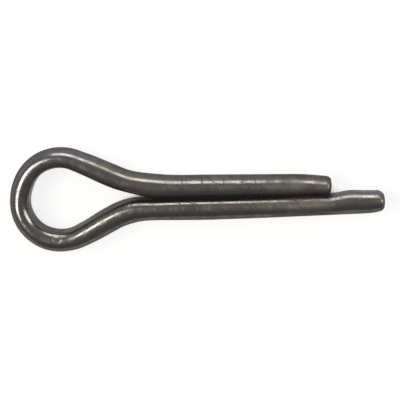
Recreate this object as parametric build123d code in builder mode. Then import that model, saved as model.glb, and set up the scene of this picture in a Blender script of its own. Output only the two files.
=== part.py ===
from build123d import *
from math import atan2, cos, degrees, radians, sin, sqrt, tan
import os

# Units are millimetres. The pin lies on its side with the eye open upwards along Z.
# X runs along the shank from the eye to the leg tips. Y runs from the long leg to the short leg.
# The origin is on the shank's axis, at mid width, 20 mm behind the short leg's tip,
# which is where the two legs begin to part into the shoulders.

# Half-round wire, flat on one side and domed on the other, with its height a little pressed down
wire_thickness = 2.25
wire_height = 3.66
wire_back_radius = 2.5
wire_flat_corner_radius = 0.7
wire_back_corner_radius = 1.0

# Eye, measured on the wire's flat inner side
eye_height = 7.37
eye_side_radius = 3.52
eye_back_radius = 6.0
eye_centre_x = -10.12

# Short leg and its shoulder
short_leg_reach = 20.0
short_leg_splay = 0.9
short_flank_angle = 22.8
short_shoulder_radius = 16.6

# Long leg and its shoulder
long_leg_reach = 25.83
long_leg_splay = 0.86
long_flank_angle = 26.6
long_shoulder_radius = 8.8

# Legs and tips
leg_gap_at_tip = 0.07
tip_bevel_length = 0.75
tip_bevel_depth = 0.35
short_tip_rounding = 0.55
long_tip_rounding = 0.5

# The eye is three tangent arcs: two side arcs, above and below the axis, and a flatter back arc.
side_centre_y = eye_height / 2 - eye_side_radius
radius_excess = eye_back_radius - eye_side_radius
back_centre_x = eye_centre_x + sqrt(radius_excess**2 - side_centre_y**2)
back_half_angle = degrees(atan2(side_centre_y, back_centre_x - eye_centre_x))


def leg_side(reach, splay, flank_angle, shoulder_radius):
    """Points and arc sizes of one side of the wire's flat, drawn above the axis."""
    rise = radians(flank_angle)
    flank_start = Vector(
        eye_centre_x + eye_side_radius * sin(rise),
        side_centre_y + eye_side_radius * cos(rise),
    )
    # The flat of each leg leaves the contact line at the short leg's tip by the splay angle.
    slope = tan(radians(splay))
    contact_height = leg_gap_at_tip / 2
    tip = Vector(reach, contact_height + (short_leg_reach - reach) * slope)
    corner_x = (
        flank_start.Y + flank_start.X * tan(rise) - contact_height - short_leg_reach * slope
    ) / (tan(rise) - slope)
    corner = Vector(corner_x, contact_height + (short_leg_reach - corner_x) * slope)
    bend = flank_angle - splay
    setback = shoulder_radius * tan(radians(bend / 2))
    leg_end = corner + (tip - corner).normalized() * setback
    return flank_start, leg_end, tip, bend


def below(point):
    """The same point on the other side of the axis."""
    return Vector(point.X, -point.Y)


short_flank_start, short_leg_end, short_tip, short_bend = leg_side(
    short_leg_reach, short_leg_splay, short_flank_angle, short_shoulder_radius
)
long_flank_start, long_leg_end, long_tip, long_bend = leg_side(
    long_leg_reach, long_leg_splay, long_flank_angle, long_shoulder_radius
)
short_side_sweep = 90 + short_flank_angle - back_half_angle
long_side_sweep = 90 + long_flank_angle - back_half_angle

# Centre line of the flat, from the short leg's tip round the eye to the long leg's tip
with BuildLine() as flat_line:
    short_leg = Line(short_tip, short_leg_end)
    short_shoulder = JernArc(short_leg @ 1, short_leg % 1, short_shoulder_radius, -short_bend)
    short_flank = Line(short_shoulder @ 1, short_flank_start)
    short_side = JernArc(short_flank @ 1, short_flank % 1, eye_side_radius, short_side_sweep)
    eye_back = JernArc(short_side @ 1, short_side % 1, eye_back_radius, 2 * back_half_angle)
    long_side = JernArc(eye_back @ 1, eye_back % 1, eye_side_radius, long_side_sweep)
    long_shoulder = JernArc(
        below(long_leg_end), below(long_leg_end - long_tip), long_shoulder_radius, long_bend
    )
    long_flank = Line(long_side @ 1, long_shoulder @ 1)
    long_leg = Line(long_shoulder @ 0, below(long_tip))

# The half-round section stands on the flat's centre line, with its round side outwards.
section_plane = Plane(
    origin=short_leg @ 0,
    x_dir=(short_leg % 0).cross(Vector(0, 0, 1)),
    z_dir=short_leg % 0,
)

with BuildPart() as cotter_pin:
    with BuildSketch(section_plane) as half_round:
        with Locations((wire_thickness - wire_back_radius, 0)):
            Circle(wire_back_radius)
        Rectangle(
            wire_thickness,
            wire_height,
            align=(Align.MIN, Align.CENTER),
            mode=Mode.INTERSECT,
        )
        fillet(half_round.vertices().sort_by(Axis.X)[:2], wire_flat_corner_radius)
        fillet(half_round.vertices().sort_by(Axis.X)[-2:], wire_back_corner_radius)
    sweep(path=flat_line.wire())
    # The long leg's tip is bevelled on its flat side, so that a tool can get between the legs.
    with BuildSketch(Plane(origin=long_leg @ 1, x_dir=-(long_leg % 1), z_dir=(0, 0, 1))) as bevel:
        with BuildLine():
            Polyline((0, 0), (tip_bevel_length, 0), (0, tip_bevel_depth), close=True)
        make_face()
    extrude(amount=wire_thickness, both=True, mode=Mode.SUBTRACT)
    # Tumbled edges around both cut ends
    long_cut = cotter_pin.faces().sort_by(Axis.X)[-1]
    fillet(long_cut.edges(), long_tip_rounding)
    flat_faces = cotter_pin.faces().filter_by(GeomType.PLANE)
    short_cut = flat_faces.filter_by(lambda face: face.normal_at().X > 0.9).sort_by(Axis.X)[0]
    fillet(short_cut.edges(), short_tip_rounding)

cotter_pin.part.label = "cotter_pin"
os.makedirs("parts", exist_ok=True)
export_step(cotter_pin.part, "parts/cotter_pin.step")
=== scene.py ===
import random
from math import atan2, cos, pi, radians, sin, sqrt, tan

import bpy
import numpy as np
from mathutils import Matrix, Vector


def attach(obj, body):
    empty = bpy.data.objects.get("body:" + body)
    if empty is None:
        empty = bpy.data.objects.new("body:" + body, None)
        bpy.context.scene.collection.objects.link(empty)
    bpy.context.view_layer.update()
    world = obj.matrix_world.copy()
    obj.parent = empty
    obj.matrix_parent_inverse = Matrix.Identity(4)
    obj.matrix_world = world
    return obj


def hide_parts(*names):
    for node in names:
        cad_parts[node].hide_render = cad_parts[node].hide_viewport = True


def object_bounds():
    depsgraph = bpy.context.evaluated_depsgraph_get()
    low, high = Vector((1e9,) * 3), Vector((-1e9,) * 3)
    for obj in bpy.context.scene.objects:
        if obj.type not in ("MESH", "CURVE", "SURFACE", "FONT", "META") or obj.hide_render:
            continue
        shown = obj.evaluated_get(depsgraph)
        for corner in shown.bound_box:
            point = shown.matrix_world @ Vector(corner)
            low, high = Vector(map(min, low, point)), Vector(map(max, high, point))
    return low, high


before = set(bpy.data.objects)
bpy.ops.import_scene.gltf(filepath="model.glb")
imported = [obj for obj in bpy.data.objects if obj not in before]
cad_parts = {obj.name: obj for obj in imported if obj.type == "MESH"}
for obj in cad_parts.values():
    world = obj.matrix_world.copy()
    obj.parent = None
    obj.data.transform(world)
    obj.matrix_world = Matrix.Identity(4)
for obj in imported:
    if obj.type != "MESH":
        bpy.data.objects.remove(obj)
cad_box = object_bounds()

MM = 0.001

# Sizes of the pin, in mm, as in its drawing. The pin lies on its side: X runs along the shank to the
# leg tips, Y from the long leg to the short leg, and the eye opens upwards along Z.
WIRE_THICKNESS = 2.25
EYE_HEIGHT = 7.37
EYE_SIDE_RADIUS = 3.52
EYE_SIDE_Y = EYE_HEIGHT / 2 - EYE_SIDE_RADIUS
EYE_BACK_RADIUS = 6.0
EYE_CENTRE_X = -10.12
SHORT_LEG = {"reach": 20.0, "splay": 0.9, "flank": 22.8, "shoulder": 16.6}
LONG_LEG = {"reach": 25.83, "splay": 0.86, "flank": 26.6, "shoulder": 8.8}
LEG_GAP_AT_TIP = 0.07
TIP_BEVEL_LENGTH = 0.75
TIP_BEVEL_DEPTH = 0.35
SHORT_TIP_ROUNDING = 0.55
LONG_TIP_ROUNDING = 0.5

# The drawn wire's section, in mm, and how finely it is followed.
WIRE_HEIGHT = 3.66
BACK_RADIUS = 2.5
BACK_CORNER_RADIUS = 1.0
FLAT_CORNER_RADIUS = 0.99
STATION_STEP = 0.085
POINTS_ROUND = 84
OUTLINE_STEPS = 200
END_STEPS = 8

# How much a place counts as a corner, from 0 to 1, when the corners' wear is laid on.
FLAT_CORNER_WEAR = 1.0
BACK_CORNER_WEAR = 0.3

# The cut at each tip: the middle of the section, how far the cut bulges, and the rings that close it.
CUT_CENTRE = 1.05
CUT_BULGE = 0.06
CUT_RINGS = (0.08, 0.3, 0.55, 0.8, 0.93)
RING_CLEARANCE = 0.02


# The wire's bent line

def leg_side(leg):
    """Lengths and turns of one leg, its shoulder and its flank, from the tip to the eye."""
    rise = radians(leg["flank"])
    splay = radians(leg["splay"])
    slope = tan(splay)
    flank_x = EYE_CENTRE_X + EYE_SIDE_RADIUS * sin(rise)
    flank_y = EYE_SIDE_Y + EYE_SIDE_RADIUS * cos(rise)
    flank_start = Vector((flank_x, flank_y))
    contact = LEG_GAP_AT_TIP / 2
    reach = SHORT_LEG["reach"]
    tip = Vector((leg["reach"], contact + (reach - leg["reach"]) * slope))
    corner_x = (flank_start.y + flank_start.x * tan(rise) - contact - reach * slope) / (tan(rise) - slope)
    corner = Vector((corner_x, contact + (reach - corner_x) * slope))
    bend = rise - splay
    setback = leg["shoulder"] * tan(bend / 2)
    return {
        "tip": tip,
        "leg": (tip - corner).length - setback,
        "bend": bend,
        "flank": (corner - flank_start).length - setback,
    }


def bent_line():
    """The wire's flat side as runs of length and curvature, from the short tip round to the long tip."""
    short = leg_side(SHORT_LEG)
    long = leg_side(LONG_LEG)
    back_x = EYE_CENTRE_X + sqrt((EYE_BACK_RADIUS - EYE_SIDE_RADIUS) ** 2 - EYE_SIDE_Y**2)
    half_back = atan2(EYE_SIDE_Y, back_x - EYE_CENTRE_X)
    runs = [
        (short["leg"], 0.0),
        (SHORT_LEG["shoulder"] * short["bend"], -1 / SHORT_LEG["shoulder"]),
        (short["flank"], 0.0),
        (EYE_SIDE_RADIUS * (pi / 2 + radians(SHORT_LEG["flank"]) - half_back), 1 / EYE_SIDE_RADIUS),
        (EYE_BACK_RADIUS * 2 * half_back, 1 / EYE_BACK_RADIUS),
        (EYE_SIDE_RADIUS * (pi / 2 + radians(LONG_LEG["flank"]) - half_back), 1 / EYE_SIDE_RADIUS),
        (long["flank"], 0.0),
        (LONG_LEG["shoulder"] * long["bend"], -1 / LONG_LEG["shoulder"]),
        (long["leg"], 0.0),
    ]
    return short["tip"], pi - radians(SHORT_LEG["splay"]), runs


def stations():
    """Points along the flat side: the run from the short tip, x, y and heading."""
    start, heading, runs = bent_line()
    x, y, run_on = start.x, start.y, 0.0
    rows = [(0.0, x, y, heading)]
    for length, curvature in runs:
        steps = max(1, round(length / STATION_STEP))
        for i in range(1, steps + 1):
            part = length * i / steps
            turn = part * curvature
            if curvature:
                px = x + (sin(heading + turn) - sin(heading)) / curvature
                py = y - (cos(heading + turn) - cos(heading)) / curvature
            else:
                px, py = x + part * cos(heading), y + part * sin(heading)
            rows.append((run_on + part, px, py, heading + turn))
        x, y = px, py
        heading += length * curvature
        run_on += length
    return rows


# The half-round section

def section_outline():
    """The section's outline in even steps, where each step lies on the girth, and the whole girth.

    A step holds its place outward and upward, the way that it faces, and how much it is a corner.
    """
    middle = WIRE_THICKNESS - BACK_RADIUS
    half = WIRE_HEIGHT / 2
    back_low = half - BACK_CORNER_RADIUS
    back_in = middle + sqrt((BACK_RADIUS - BACK_CORNER_RADIUS) ** 2 - back_low**2)
    lean = atan2(back_low, back_in - middle)
    flat_low = half - FLAT_CORNER_RADIUS
    share = np.linspace(0, 1, OUTLINE_STEPS, endpoint=False)
    still = np.ones_like(share)

    def arc(out, up, radius, start, end, corner):
        turn = start + (end - start) * share
        return np.stack([out + radius * np.cos(turn), up + radius * np.sin(turn), turn, corner * still])

    side_out = FLAT_CORNER_RADIUS + (back_in - FLAT_CORNER_RADIUS) * share
    upper = np.concatenate([
        np.stack([0 * share, flat_low * share, pi * still, 0 * still]),
        arc(FLAT_CORNER_RADIUS, flat_low, FLAT_CORNER_RADIUS, pi, pi / 2, FLAT_CORNER_WEAR),
        np.stack([side_out, half * still, pi / 2 * still, BACK_CORNER_WEAR * still]),
        arc(back_in, back_low, BACK_CORNER_RADIUS, pi / 2, lean, BACK_CORNER_WEAR),
        arc(middle, 0.0, BACK_RADIUS, lean, 0.0, 0.0),
    ], axis=1)
    last = np.array([[WIRE_THICKNESS], [0.0], [0.0], [0.0]])
    lower = upper[:, :0:-1] * np.array([[1], [-1], [-1], [1]])
    loop = np.concatenate([upper, last, lower], axis=1)
    steps = np.hypot(*np.diff(loop[:2], axis=1, append=loop[:2, :1]))
    places = np.concatenate([[0.0], np.cumsum(steps)])
    even = np.arange(POINTS_ROUND) * places[-1] / POINTS_ROUND
    return np.stack([np.interp(even, places[:-1], row) for row in loop]), even, places[-1]


OUTLINE, GIRTH_PLACES, GIRTH = section_outline()


def half_round(trim):
    """The section pulled in by trim: outward, upward, the outward normal, and how much it is a corner."""
    out, up, turn, corner = OUTLINE
    normal_out, normal_up = np.cos(turn), np.sin(turn)
    return np.stack([out - trim * normal_out, up - trim * normal_up, normal_out, normal_up, corner], axis=1)


def end_rings(rounding):
    """Rings of a rounded end, from the middle of the cut outwards: (back from the end, trim, size)."""
    cap = [(CUT_BULGE * size**2, rounding, size) for size in CUT_RINGS]
    edge = []
    for i in range(END_STEPS + 1):
        turn = pi / 2 * (1 - i / END_STEPS)
        edge.append((CUT_BULGE + (rounding - CUT_BULGE) * (1 - sin(turn)), rounding * (1 - cos(turn)), 1.0))
    return cap + edge


def wire_rings():
    """Rings round the wire from the short tip to the long tip: (run, x, y, heading, trim, size)."""
    rows = stations()
    total = rows[-1][0]
    first = SHORT_TIP_ROUNDING + RING_CLEARANCE
    last = total - LONG_TIP_ROUNDING - RING_CLEARANCE
    x, y, heading = rows[0][1:]
    rings = [
        (back, x + back * cos(heading), y + back * sin(heading), heading, trim, size)
        for back, trim, size in end_rings(SHORT_TIP_ROUNDING)
    ]
    rings += [(*row, 0.0, 1.0) for row in rows if first < row[0] < last]
    x, y, heading = rows[-1][1:]
    rings += [
        (total - back, x - back * cos(heading), y - back * sin(heading), heading, trim, size)
        for back, trim, size in reversed(end_rings(LONG_TIP_ROUNDING))
    ]
    return rings, total


# What drawing, bending and use left on the wire, and the light and shade painted on it
# Each table along the wire holds (run from the short tip in mm, value). The first three hold how far
# the back stands out and the flat side stands in, in mm, and how far the section is turned, in degrees.
FULLER_OUTSIDE = [
    (0, -0.34), (0.5, -0.25), (2, -0.1), (3.5, 0.0), (14, -0.01), (17, -0.04), (20, 0.08), (21.5, 0.01),
    (23, -0.08), (24.5, -0.01), (27.5, 0.06), (29, 0.0), (33, -0.03), (35, -0.09), (36.5, 0.0),
    (38, 0.05), (41, -0.03), (42.5, -0.18), (44, -0.05), (45.5, 0.0), (48.5, -0.09), (50, -0.02),
    (53, -0.12), (56, 0.0), (59, 0.07), (65, 0.06), (70, 0.01), (75.5, -0.04), (77.2, -0.06),
    (78.2, -0.2), (79.5, -0.75),
]
FULLER_INSIDE = [
    (0, -0.1), (1.5, -0.06), (5, -0.02), (12, 0.1), (20, 0.25), (22, 0.12), (24.5, 0.19), (26, 0.16),
    (27.5, 0.04), (30.5, -0.05), (33.5, 0.02), (35, 0.16), (36.5, -0.08), (39.5, 0.04), (41, 0.17),
    (42.5, 0.23), (45, 0.26), (47, 0.41), (50.5, 0.41), (53, 0.27), (60, 0.17), (66, 0.11),
    (71.5, 0.08), (73.5, 0.05), (74.4, 0.36), (75.7, 0.31), (77, 0.22), (80, 0.22),
]
TURNED_FLAT = [(0, 0.0), (39, 0.0), (43, 5.0), (48, 9.0), (51, 7.0), (56, 0.0), (80, 0.0)]
TURN_CENTRE = 1.1
PRESSED_IN_TURN = 0.2

# Where the steel is dull and darkened, from 0 to 1: at the cut tips, and, as painted shade where the lamp's
# highlight fades, on the short leg near its tip and on the long leg before its free end.
DULLED_AND_SHADED = [
    (0, 1.0), (0.5, 1.0), (1.6, 0.1), (2.4, 0.0), (3.2, 0.9), (5.6, 0.9), (7.5, 0.2), (9, 0.0), (62, 0.0),
    (67, 0.3), (68.5, 0.9), (72.2, 0.9), (73.2, 0.0), (77.5, 0.0), (78.5, 0.4), (79.2, 1.0), (81, 1.0),
]

# Painted reflected colour along the wire: bluish above 0, where the sky's reflection is painted, brownish
# below, where the floor's reflection is painted. The free end's flat side gets a lighter, bluish painted
# reflection.
PAINTED_REFLECTION_TINTS = [
    (0, 0.1), (4, -0.3), (6, 0.3), (12, -0.2), (16, 0.0), (25, 0.0), (28, 0.55), (33, 0.5), (36, 0.2),
    (39, 0.0), (57, 0.0), (61, -0.45), (71, -0.5), (74, -0.1), (79, -0.2),
]
REFLECTION_TINT_ON_FLAT = 0.35
REFLECTION_TINT_FULL_DEPTH = 1.2
FREE_END_START = 73.5
FREE_END_REFLECTION_TINT = 1.2
FREE_END_REFLECTION_DEPTH = 0.6

# Scratches across the wire: (run, girth) at both ends, half width and depth, in mm.
SCRATCHES = [
    (14.1, 4.6, 12.3, 2.4, 0.13, 0.022),
    (11.4, 4.6, 10.9, 3.7, 0.16, 0.02),
    (3.3, 4.6, 2.9, 3.6, 0.12, 0.016),
    (56.0, 1.3, 56.7, 3.1, 0.13, 0.02),
    (57.2, 1.4, 58.4, 2.8, 0.13, 0.03),
    (57.7, 1.4, 58.0, 2.0, 0.16, 0.02),
    (54.7, 2.6, 55.3, 3.5, 0.12, 0.018),
    (68.7, 1.4, 70.0, 2.9, 0.13, 0.024),
    (69.9, 1.5, 69.0, 2.1, 0.12, 0.02),
    (67.8, 1.6, 68.4, 2.7, 0.12, 0.013),
    (66.7, 2.9, 67.1, 3.7, 0.12, 0.02),
    (16.5, 3.9, 16.4, 2.8, 0.18, 0.02),
    (14.3, 3.9, 14.2, 2.8, 0.2, 0.024),
    (11.9, 3.8, 11.8, 2.8, 0.15, 0.02),
    (9.8, 3.8, 9.8, 2.8, 0.15, 0.02),
    (8.4, 3.7, 8.3, 2.8, 0.15, 0.022),
    (7.1, 3.7, 7.0, 3.0, 0.12, 0.016),
    (60.5, 1.5, 60.5, 2.0, 0.12, 0.018),
    (64.1, 1.5, 64.2, 2.0, 0.12, 0.018),
    (66.4, 1.4, 66.5, 2.0, 0.12, 0.018),
]
FULL_SCRATCH = 0.02
MARK_SIDES = 1.5

# Small nicks from handling, in mm, with their lean in radians. A pair holds the least and the most.
NICK_SEED = 41
NICK_COUNT = 420
NICK_FROM_TIPS = 0.5
NICK_LENGTH = 0.45
NICK_LEAN = 0.9
NICK_HALF_WIDTH = (0.09, 0.2)
NICK_DEPTH = (0.004, 0.022)
FULL_NICK = 0.03

# Fine grooves of the drawing die, in mm. A pair holds the least and the most.
GROOVE_SEED = 7
GROOVE_COUNT = 90
GROOVE_PAST_TIPS = 5
GROOVE_REACH = (2.0, 12.0)
GROOVE_HALF_WIDTH = (0.08, 0.16)
GROOVE_DEPTH = (0.001, 0.005)

# A round spot pressed into the eye's lower side, in mm. Its edge and rim are shares of its radius.
SPOT_RUN = 41.6
SPOT_GIRTH = 2.0
SPOT_RADIUS = 0.42
SPOT_DEPTH = 0.03
SPOT_FLOOR = 0.4
SPOT_EDGE = 0.25
SPOT_RIM = 0.3
SPOT_RIM_SCRATCH = 0.7

# A table's value is smoothed over this much of the run to each side, in mm.
SMOOTHED_OVER = 1.5
SMOOTHING_STEPS = 13


def along(run, table):
    """A smooth value along the wire from a table of (run, value)."""
    places, values = zip(*table)
    reach = np.linspace(-SMOOTHED_OVER, SMOOTHED_OVER, SMOOTHING_STEPS)
    weights = np.cos(reach / SMOOTHED_OVER * pi / 2) ** 2
    return sum(w * np.interp(run + r, places, values) for w, r in zip(weights, reach)) / weights.sum()


def round_the_girth(girth, place):
    """The distance from a place on the girth, the short way round."""
    return (girth - place + GIRTH / 2) % GIRTH - GIRTH / 2


def mark_depth(run, girth, marks):
    """How deep the marks go at each place, in mm; a mark is (run, girth, run, girth, half width, depth)."""
    depth = np.zeros_like(run)
    for r0, g0, r1, g1, half_width, deep in marks:
        dr, dg = r1 - r0, g1 - g0
        length = max(1e-6, dr * dr + dg * dg)
        across = round_the_girth(girth, g0)
        share = np.clip(((run - r0) * dr + across * dg) / length, 0.0, 1.0)
        off = np.hypot(run - r0 - share * dr, across - share * dg) / half_width
        depth = np.maximum(depth, deep * np.clip(1 - off, 0.0, 1.0) ** MARK_SIDES)
    return depth


def pressed_spot(run, girth):
    """The pressed spot's flat middle and the groove round it, both 0 to 1."""
    off = np.hypot(run - SPOT_RUN, girth - SPOT_GIRTH) / SPOT_RADIUS
    return np.clip((1.0 - off) / SPOT_EDGE, 0.0, 1.0), np.clip(1.0 - np.abs(off - 1.0) / SPOT_RIM, 0.0, 1.0)


def seeded_nicks(total):
    """Small nicks from handling, always the same ones."""
    chance = random.Random(NICK_SEED)
    nicks = []
    for _ in range(NICK_COUNT):
        r = chance.uniform(NICK_FROM_TIPS, total - NICK_FROM_TIPS)
        g = chance.uniform(0, GIRTH)
        length = chance.uniform(0.0, NICK_LENGTH)
        lean = chance.uniform(-NICK_LEAN, NICK_LEAN)
        half_width = chance.uniform(*NICK_HALF_WIDTH)
        deep = chance.uniform(*NICK_DEPTH)
        nicks.append((r, g, r + length * cos(lean), g + length * sin(lean), half_width, deep))
    return nicks


def drawn_grooves(run, girth, total):
    """Fine grooves of the drawing die, which run along the wire and fade in and out."""
    chance = random.Random(GROOVE_SEED)
    grooves = np.zeros_like(run)
    for _ in range(GROOVE_COUNT):
        g = chance.uniform(0, GIRTH)
        r = chance.uniform(-GROOVE_PAST_TIPS, total + GROOVE_PAST_TIPS)
        reach = chance.uniform(*GROOVE_REACH)
        half_width = chance.uniform(*GROOVE_HALF_WIDTH)
        deep = chance.uniform(*GROOVE_DEPTH)
        beside = np.clip(1 - np.abs(round_the_girth(girth, g)) / half_width, 0, 1)
        near = beside * np.clip(1 - np.abs(run - r) / reach, 0, 1)
        grooves = np.maximum(grooves, deep * near)
    return grooves


def uneven_section(run, out, up, total):
    """The section as the long tip's bevel and the bending left it: fuller or thinner, and turned."""
    bevel = np.maximum(0.0, TIP_BEVEL_DEPTH * (1 - (total - run) / TIP_BEVEL_LENGTH))
    low = bevel - along(run, FULLER_INSIDE)
    high = WIRE_THICKNESS + along(run, FULLER_OUTSIDE)
    out = low + out * (high - low) / WIRE_THICKNESS
    turned = np.radians(along(run, TURNED_FLAT))
    arm = out - TURN_CENTRE
    out = TURN_CENTRE + arm * np.cos(turned) + up * np.sin(turned)
    up = (-arm * np.sin(turned) + up * np.cos(turned)) * (1 - PRESSED_IN_TURN * np.sin(turned))
    return out, up


def painted_reflection_tint(run, depth):
    """How bluish or brownish the painted reflected colour makes the steel; depth is the distance from the
    flat side.
    """
    outer_side = np.clip(depth / REFLECTION_TINT_FULL_DEPTH, 0, 1)
    reflection_tint = along(run, PAINTED_REFLECTION_TINTS) * (REFLECTION_TINT_ON_FLAT + (1 - REFLECTION_TINT_ON_FLAT) * outer_side)
    on_flat = 1 - np.clip(depth / FREE_END_REFLECTION_DEPTH, 0, 1)
    return np.where(run > FREE_END_START, reflection_tint + FREE_END_REFLECTION_TINT * on_flat, reflection_tint)


# The pin as one piece

def ring_faces(count, around):
    """Four-sided faces between neighbouring rings, and one face that closes each end."""
    faces = []
    for i in range(count - 1):
        for j in range(around):
            k = (j + 1) % around
            faces.append((i * around + j, i * around + k, (i + 1) * around + k, (i + 1) * around + j))
    faces.append(tuple(range(around - 1, -1, -1)))
    faces.append(tuple((count - 1) * around + j for j in range(around)))
    return faces


def bent_pin():
    """The whole pin as one closed mesh, with each point's place on the straight wire, its wear and marks, and
    its painted reflection and shade.
    """
    rings, total = wire_rings()
    count = len(rings)
    run = np.repeat([r[0] for r in rings], POINTS_ROUND)
    girth = np.tile(GIRTH_PLACES, count)
    out, up, normal_out, normal_up, corner = np.concatenate([half_round(r[4]) for r in rings]).T
    size = np.repeat([r[5] for r in rings], POINTS_ROUND)
    out, up = CUT_CENTRE + (out - CUT_CENTRE) * size, up * size
    straight = np.stack([run, out, up], axis=1)

    scratched = mark_depth(run, girth, SCRATCHES)
    nicked = mark_depth(run, girth, seeded_nicks(total))
    spot, spot_rim = pressed_spot(run, girth)
    sunk = scratched + nicked + drawn_grooves(run, girth, total) + SPOT_DEPTH * (SPOT_FLOOR * spot + spot_rim)
    out, up = uneven_section(run, out - sunk * normal_out, up - sunk * normal_up, total)

    x, y, heading = (np.repeat([r[i] for r in rings], POINTS_ROUND) for i in (1, 2, 3))
    points = np.stack([x + out * np.sin(heading), y - out * np.cos(heading), up], axis=1)
    mesh = bpy.data.meshes.new("bent_wire")
    mesh.from_pydata((points * MM).tolist(), [], ring_faces(count, POINTS_ROUND))

    places = mesh.attributes.new("straight_wire", "FLOAT_VECTOR", "POINT")
    places.data.foreach_set("vector", straight.astype(np.float32).ravel())
    # Wear and marks of the steel, with the painted reflection tint and the painted shade of the dull
    # stretches.
    wear = {
        "corner_wear": corner,
        # Dull, with painted shade on two stretches.
        "dull_and_shaded": np.clip(along(run, DULLED_AND_SHADED), 0, 1),
        "scratch": np.clip(scratched / FULL_SCRATCH + SPOT_RIM_SCRATCH * spot_rim, 0, 1),
        "spot": spot,
        # Painted reflected colour of sky and floor.
        "reflection_tint": painted_reflection_tint(run, straight[:, 1]),
        "nick": np.clip(nicked / FULL_NICK, 0, 1),
    }
    for name, values in wear.items():
        attribute = mesh.attributes.new(name, "FLOAT", "POINT")
        attribute.data.foreach_set("value", values.astype(np.float32))
    mesh.update()
    mesh.validate()
    for polygon in mesh.polygons:
        polygon.use_smooth = True
    pin = bpy.data.objects.new("bent_pin", mesh)
    bpy.context.scene.collection.objects.link(pin)
    return pin


# Finishes

def new_material(name):
    material = bpy.data.materials.new(name)
    material.use_nodes = True
    material.node_tree.nodes.clear()
    return material, material.node_tree


class Wiring:
    """Short ways to place and join shader nodes in one tree."""

    def __init__(self, tree):
        self.tree = tree

    def node(self, kind, **settings):
        node = self.tree.nodes.new(kind)
        for name, value in settings.items():
            setattr(node, name, value)
        return node

    def join(self, source, target):
        """Link a socket, or set a plain number or colour."""
        if hasattr(source, "links"):
            self.tree.links.new(source, target)
        else:
            target.default_value = source

    def math(self, operation, a, b=0.0, c=0.0):
        node = self.node("ShaderNodeMath", operation=operation)
        for value, socket in zip((a, b, c), node.inputs):
            self.join(value, socket)
        return node.outputs[0]

    def pattern(self, place, scale, shift, detail, roughness):
        """Noise on the straight wire, with its scale per mm along the run, outward and upward."""
        spread = self.node("ShaderNodeVectorMath", operation="MULTIPLY_ADD")
        self.join(place, spread.inputs[0])
        spread.inputs[1].default_value = scale
        spread.inputs[2].default_value = (shift, shift * 0.7, shift * 1.3)
        noise = self.node("ShaderNodeTexNoise")
        self.join(spread.outputs[0], noise.inputs["Vector"])
        noise.inputs["Scale"].default_value = 1.0
        noise.inputs["Detail"].default_value = detail
        noise.inputs["Roughness"].default_value = roughness
        return noise.outputs["Fac"]

    def ramp(self, value, low, high, to_low=0.0, to_high=1.0):
        node = self.node("ShaderNodeMapRange", interpolation_type="SMOOTHSTEP")
        names = ("Value", "From Min", "From Max", "To Min", "To Max")
        for name, number in zip(names, (value, low, high, to_low, to_high)):
            self.join(number, node.inputs[name])
        return node.outputs[0]

    def mix(self, share, a, b, blend="MIX"):
        node = self.node("ShaderNodeMix", data_type="RGBA", blend_type=blend)
        self.join(share, node.inputs["Factor"])
        self.join(a, node.inputs[6])
        self.join(b, node.inputs[7])
        return node.outputs[2]

    def point_value(self, name, output="Fac"):
        return self.node("ShaderNodeAttribute", attribute_name=name).outputs[output]


# The drawn steel's colours.
OLIVE_STEEL = (0.12, 0.115, 0.099, 1)
BLUE_STEEL = (0.1, 0.098, 0.097, 1)
PLUM_STEEL = (0.117, 0.101, 0.094, 1)
# Painted reflected colours: of the sky, and of the floor.
PAINTED_SKY_REFLECTION = (0.128, 0.127, 0.146, 1)
PAINTED_FLOOR_REFLECTION = (0.132, 0.104, 0.094, 1)
RUST = (0.09, 0.05, 0.032, 1)
SCRATCH_DIRT = (0.03, 0.028, 0.027, 1)
# A lighter bluish grey on the pressed spot's flat: a painted reflection of the sky.
PAINTED_SPOT_REFLECTION = (0.17, 0.175, 0.195, 1)
WORN_STEEL = (0.165, 0.16, 0.15, 1)
NICK_DIRT = (0.05, 0.047, 0.044, 1)
EDGE_GLEAM = (0.45, 0.45, 0.45, 1)

# A faint glow painted into all of the steel, standing in for the camera's veil, so that the seam between the
# legs is dark and not black.
VEIL_GLOW = (1.0, 0.94, 0.94, 1)
VEIL_GLOW_STRENGTH = 0.008

# The drawn steel's patterns: scale per mm along the run, outward and upward, shift, detail, roughness.
STEEL_PATTERNS = {
    "fine_lines": ((0.9, 8.0, 8.0), 0.0, 3.0, 0.6),
    "long_lines": ((0.16, 4.2, 4.2), 3.1, 2.0, 0.5),
    "grain": ((7.0, 9.0, 9.0), 5.3, 3.0, 0.6),
    "clouds": ((0.32, 0.55, 0.55), 11.0, 2.0, 0.5),
    "patches": ((0.9, 1.3, 1.3), 17.0, 3.0, 0.55),
    "specks": ((2.6, 3.4, 3.4), 23.0, 3.0, 0.6),
    "gleam": ((1.3, 0.6, 0.6), 31.0, 3.0, 0.6),
}

# Where a pattern or a tint starts to show and where it shows in full.
CLOUD_EDGE = (0.38, 0.62)
PATCH_EDGE = (0.42, 0.66)
RUST_EDGE = (0.66, 0.74)
WORN_EDGE = (0.48, 0.6)
SKY_REFLECTION_EDGE = (0.05, 1.0)
FLOOR_REFLECTION_EDGE = (-0.05, -1.0)
PATCH_SHARE = 0.8
SKY_REFLECTION_SHARE = 0.8
FLOOR_REFLECTION_SHARE = 0.7

# How much each pattern darkens or lightens the steel: its low and its high, and the change at each.
STEEL_SHADES = {
    "fine_lines": (0.3, 0.7, -0.14, 0.14),
    "long_lines": (0.35, 0.65, -0.06, 0.06),
    "grain": (0.3, 0.7, -0.14, 0.14),
    "gleam": (0.38, 0.62, -0.1, 0.12),
}
# Painted shade laid on the dull stretches.
DULL_PAINTED_SHADE = -0.3

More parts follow.
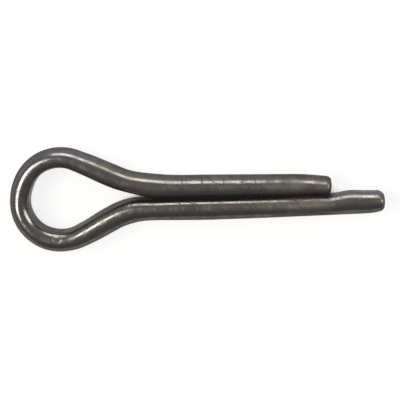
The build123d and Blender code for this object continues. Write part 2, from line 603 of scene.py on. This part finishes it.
# What lies over the steel, and the painted reflection on the pressed spot: where, its share at most, and its
# colour.
STEEL_COVERS = [
    ("rust", 0.75, RUST),
    ("scratch", 0.8, SCRATCH_DIRT),
    ("spot", 0.6, PAINTED_SPOT_REFLECTION),
    ("worn", 0.3, WORN_STEEL),
    ("nick", 0.4, NICK_DIRT),
]

# The steel's roughness: from the gleam's low to its high, with the fine lines, and what is added.
GLEAM_ROUGHNESS = (0.4, 0.6, 0.29, 0.19)
LINE_ROUGHNESS = (0.3, 0.7, 0.03, -0.03)
ADDED_ROUGHNESS = {"rust": 0.25, "scratch": 0.2, "dull_and_shaded": 0.25, "worn": -0.03}

# The finest lines and grain, too small for the mesh: the share of each in the bump's height.
BUMP_HEIGHTS = {"fine_lines": 0.9, "long_lines": 0.8, "grain": 0.35}
BUMP_STRENGTH = 0.24
BUMP_DISTANCE = 0.02 * MM


def steel_marks(w):
    """Every pattern and wear of the steel as a value over the wire."""
    place = w.point_value("straight_wire", "Vector")
    marks = {name: w.pattern(place, *pattern) for name, pattern in STEEL_PATTERNS.items()}
    for name in ("dull_and_shaded", "scratch", "spot", "nick", "reflection_tint"):
        marks[name] = w.point_value(name)
    marks["rust"] = w.ramp(marks["specks"], *RUST_EDGE)
    marks["worn"] = w.math("MULTIPLY", w.point_value("corner_wear"), w.ramp(marks["patches"], *WORN_EDGE))
    return marks


def steel_colour(w, marks):
    """Oily mottling, painted reflected tints of sky and floor, darker and lighter lines, painted shade on the
    dull stretches, rust, dirt in the marks, worn corners, and a painted reflection on the pressed spot.
    """
    colour = w.mix(w.ramp(marks["clouds"], *CLOUD_EDGE), OLIVE_STEEL, BLUE_STEEL)
    patches = w.math("MULTIPLY", w.ramp(marks["patches"], *PATCH_EDGE), PATCH_SHARE)
    colour = w.mix(patches, colour, PLUM_STEEL)
    # Painted reflections: bluish of the sky, brownish of the floor.
    colour = w.mix(w.ramp(marks["reflection_tint"], *SKY_REFLECTION_EDGE, 0.0, SKY_REFLECTION_SHARE), colour, PAINTED_SKY_REFLECTION)
    colour = w.mix(w.ramp(marks["reflection_tint"], *FLOOR_REFLECTION_EDGE, 0.0, FLOOR_REFLECTION_SHARE), colour, PAINTED_FLOOR_REFLECTION)
    shade = 1.0
    for name, change in STEEL_SHADES.items():
        shade = w.math("ADD", w.ramp(marks[name], *change), shade)
    # Painted shade on the dull stretches.
    shade = w.math("ADD", shade, w.math("MULTIPLY", marks["dull_and_shaded"], DULL_PAINTED_SHADE))
    colour = w.mix(1.0, colour, shade, "MULTIPLY")
    for name, share, cover in STEEL_COVERS:
        colour = w.mix(w.math("MULTIPLY", marks[name], share), colour, cover)
    return colour


def steel_roughness(w, marks):
    """Smoother where it gleams and on worn corners, rougher in rust, scratches and dull stretches."""
    fine = w.ramp(marks["fine_lines"], *LINE_ROUGHNESS)
    rough = w.math("ADD", fine, w.ramp(marks["gleam"], *GLEAM_ROUGHNESS))
    for name, added in ADDED_ROUGHNESS.items():
        rough = w.math("ADD", rough, w.math("MULTIPLY", marks[name], added))
    return rough


def steel_bump(w, marks):
    height = 0.0
    for name, share in BUMP_HEIGHTS.items():
        height = w.math("ADD", w.math("MULTIPLY", marks[name], share), height)
    bump = w.node("ShaderNodeBump")
    bump.inputs["Strength"].default_value = BUMP_STRENGTH
    bump.inputs["Distance"].default_value = BUMP_DISTANCE
    w.join(height, bump.inputs["Height"])
    return bump.outputs["Normal"]


def drawn_steel():
    """Dark bare steel wire: draw lines along it, oily mottling, scratches, nicks and specks of rust."""
    material, tree = new_material("drawn_steel")
    w = Wiring(tree)
    out = w.node("ShaderNodeOutputMaterial")
    steel = w.node("ShaderNodeBsdfPrincipled")
    w.join(steel.outputs["BSDF"], out.inputs["Surface"])
    steel.inputs["Metallic"].default_value = 1.0
    steel.inputs["Specular Tint"].default_value = EDGE_GLEAM
    # The steel's painted glow.
    steel.inputs["Emission Color"].default_value = VEIL_GLOW
    steel.inputs["Emission Strength"].default_value = VEIL_GLOW_STRENGTH

    marks = steel_marks(w)
    w.join(steel_colour(w, marks), steel.inputs["Base Color"])
    w.join(steel_roughness(w, marks), steel.inputs["Roughness"])
    w.join(steel_bump(w, marks), steel.inputs["Normal"])
    return material


# Floor, light and camera
# The floor's half width in m, its grey, how white it shows, and how it darkens between the legs.
FLOOR_HALF = 2.5
FLOOR_GREY = (0.62, 0.62, 0.62, 1)
FLOOR_WHITE = (1, 1, 1, 1)
FLOOR_WHITE_SHARE = 0.86
NOOK_DISTANCE = 4 * MM
NOOK_SAMPLES = 16
NOOK_CLOSED = 0.14
NOOK_OPEN = 0.4

# The world's strength straight above the pin, and how much it gains towards the short leg's side.
STUDIO_STRENGTH = 0.45
STUDIO_SLOPE = 0.2

# The lamps: name, azimuth and elevation in degrees, width and height in m, and radiance.
LAMPS = [
    ("window_lamp", 88, 11, 0.34, 0.36, 6.0),
    ("eye_side_lamp", 172, 55, 0.34, 0.22, 16.0),
    ("tip_side_lamp", 18, 26, 0.2, 0.28, 10.5),
]
LAMP_DISTANCE = 0.5
WARM = (1.0, 0.97, 0.9)

# The camera looks down on the pin, a little from the short leg's side and from the leg tips' side.
# Angles are in degrees, the picture's width and centre, the lens and the sensor in mm, and how far it
# sees in m.
TILT_TO_SHORT_LEG = 9.0
TILT_TO_TIPS = 5.0
ROLL = 1.92
PICTURE_WIDTH = 44.44
PICTURE_CENTRE = (5.38, -0.223)
LENS = 200.0
SENSOR = 36.0
SEES_TO = 20


def floor_paper():
    """Pale grey to the light, white to the eye and in the steel, and darker deep between the legs."""
    material, tree = new_material("pale_floor")
    w = Wiring(tree)
    out = w.node("ShaderNodeOutputMaterial")
    paper = w.node("ShaderNodeBsdfDiffuse")
    paper.inputs["Color"].default_value = FLOOR_GREY
    white = w.node("ShaderNodeEmission")
    white.inputs["Color"].default_value = FLOOR_WHITE
    path = w.node("ShaderNodeLightPath")
    seen = w.math("MAXIMUM", path.outputs["Is Camera Ray"], path.outputs["Is Glossy Ray"])
    seen = w.math("MAXIMUM", seen, path.outputs["Is Transmission Ray"])
    nook = w.node("ShaderNodeAmbientOcclusion", samples=NOOK_SAMPLES)
    nook.inputs["Distance"].default_value = NOOK_DISTANCE
    open_floor = w.ramp(nook.outputs["AO"], NOOK_CLOSED, NOOK_OPEN)
    share = w.math("MULTIPLY", w.math("MULTIPLY", seen, open_floor), FLOOR_WHITE_SHARE)
    blend = w.node("ShaderNodeMixShader")
    w.join(share, blend.inputs["Fac"])
    w.join(paper.outputs[0], blend.inputs[1])
    w.join(white.outputs[0], blend.inputs[2])
    w.join(blend.outputs[0], out.inputs["Surface"])
    return material


def pale_floor(height):
    mesh = bpy.data.meshes.new("pale_floor")
    corners = [(x * FLOOR_HALF, y * FLOOR_HALF, height) for x, y in ((-1, -1), (1, -1), (1, 1), (-1, 1))]
    mesh.from_pydata(corners, [], [(0, 1, 2, 3)])
    mesh.materials.append(floor_paper())
    floor = bpy.data.objects.new("pale_floor", mesh)
    bpy.context.scene.collection.objects.link(floor)


def soft_light():
    """An even studio, a little darker on the long leg's side."""
    world = bpy.data.worlds.new("studio")
    bpy.context.scene.world = world
    world.use_nodes = True
    world.node_tree.nodes.clear()
    w = Wiring(world.node_tree)
    out = w.node("ShaderNodeOutputWorld")
    sky = w.node("ShaderNodeBackground")
    sky.inputs["Color"].default_value = (1, 1, 1, 1)
    direction = w.node("ShaderNodeTexCoord").outputs["Generated"]
    parts = w.node("ShaderNodeSeparateXYZ")
    w.join(direction, parts.inputs[0])
    strength = w.math("MULTIPLY_ADD", parts.outputs["Y"], STUDIO_SLOPE, STUDIO_STRENGTH)
    w.join(strength, sky.inputs["Strength"])
    w.join(sky.outputs[0], out.inputs["Surface"])


def soft_lamp(name, azimuth, elevation, width, height, radiance):
    """A lamp with a broad rectangular face, turned to the pin."""
    light = bpy.data.lights.new(name, "AREA")
    light.shape = "RECTANGLE"
    light.size = width
    light.size_y = height
    light.energy = radiance * width * height * pi
    light.color = WARM
    lamp = bpy.data.objects.new(name, light)
    bpy.context.scene.collection.objects.link(lamp)
    az, el = radians(azimuth), radians(elevation)
    away = Vector((cos(el) * cos(az), cos(el) * sin(az), sin(el)))
    lamp.location = away * LAMP_DISTANCE
    lamp.rotation_euler = away.to_track_quat("Z", "Y").to_euler()


def set_camera():
    a, b, roll = radians(TILT_TO_SHORT_LEG), radians(TILT_TO_TIPS), radians(ROLL)
    right = Vector((cos(b), 0, -sin(b)))
    up = Vector((-sin(a) * sin(b), cos(a), -sin(a) * cos(b)))
    toward = Vector((sin(b) * cos(a), sin(a), cos(b) * cos(a)))
    turned_right = right * cos(roll) - up * sin(roll)
    turned_up = right * sin(roll) + up * cos(roll)
    data = bpy.data.cameras.new("camera")
    data.sensor_width = SENSOR
    data.lens = LENS
    data.clip_end = SEES_TO
    camera = bpy.data.objects.new("camera", data)
    bpy.context.scene.collection.objects.link(camera)
    centre = turned_right * PICTURE_CENTRE[0] + turned_up * PICTURE_CENTRE[1]
    place = (centre + toward * PICTURE_WIDTH * LENS / SENSOR) * MM
    turn = Matrix((turned_right, turned_up, toward)).transposed().to_4x4()
    camera.matrix_world = Matrix.Translation(place) @ turn
    bpy.context.scene.camera = camera


pin = bent_pin()
pin.data.materials.append(drawn_steel())
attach(pin, "root")
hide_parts("cotter_pin")
pale_floor(cad_box[0].z)
soft_light()
for lamp in LAMPS:
    soft_lamp(*lamp)
set_camera()
bpy.context.scene.view_settings.view_transform = "Standard"
